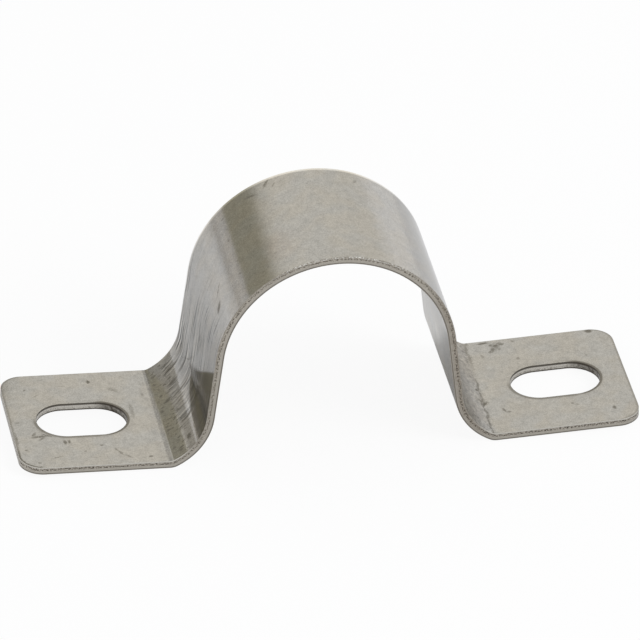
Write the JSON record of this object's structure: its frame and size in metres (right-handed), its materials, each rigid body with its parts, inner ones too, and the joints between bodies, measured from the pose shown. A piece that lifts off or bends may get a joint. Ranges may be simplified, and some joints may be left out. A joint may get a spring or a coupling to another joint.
{
  "type": "conduit strap",
  "caption": "Saddle strap folded from one strip of stainless sheet: a round arch holds a conduit against a wall, and slotted ears take the screws.",
  "frame": {"origin": "on the mounting surface, under the middle of the arch", "axes": "+Z away from the mounting surface, through the arch's crown; +X along the strap from ear to ear; +Y along the conduit"},
  "size_m": [0.0742, 0.02, 0.0272],
  "materials": {
    "stainless": "satin mill finish with sheared edges and light forming marks"
  },
  "bodies": {
    "root": {"strap": "stainless"}
  },
  "joints": []
}
